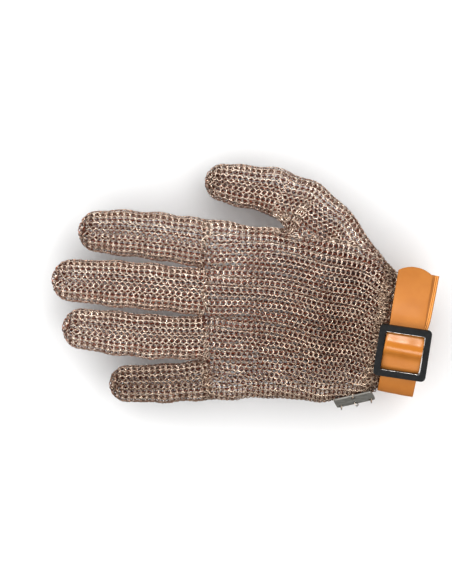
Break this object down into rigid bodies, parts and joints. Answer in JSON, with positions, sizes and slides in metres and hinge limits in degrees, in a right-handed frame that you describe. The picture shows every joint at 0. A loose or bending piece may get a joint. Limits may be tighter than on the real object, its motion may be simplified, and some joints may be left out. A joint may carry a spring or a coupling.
{
  "type": "chainmail glove",
  "caption": "Ring-mail safety glove for a left hand, with closed finger and thumb stalls, a wrist strap looped through a slide buckle, and a small sheet-metal tab at the cuff.",
  "frame": {"origin": "centre of the wrist opening, at the middle of the strap", "axes": "+X from the fingertips towards the forearm, +Y to the thumb's side, +Z out of the back of the hand"},
  "size_m": [0.2186, 0.1386, 0.0557],
  "materials": {
    "ring_mail_steel": "welded stainless wire rings, bright with use",
    "orange_strap": "satin, pliable moulded band",
    "black_coated_steel": "near-black, faintly mottled",
    "plate_steel": "dull grey sheet metal"
  },
  "bodies": {
    "root": {"mail_palm": "ring_mail_steel", "mail_thumb": "ring_mail_steel", "mail_index": "ring_mail_steel", "mail_middle": "ring_mail_steel", "mail_ring": "ring_mail_steel", "mail_little": "ring_mail_steel", "wrist_strap": "orange_strap", "strap_buckle": "black_coated_steel", "cuff_plate": "plate_steel"}
  },
  "joints": []
}
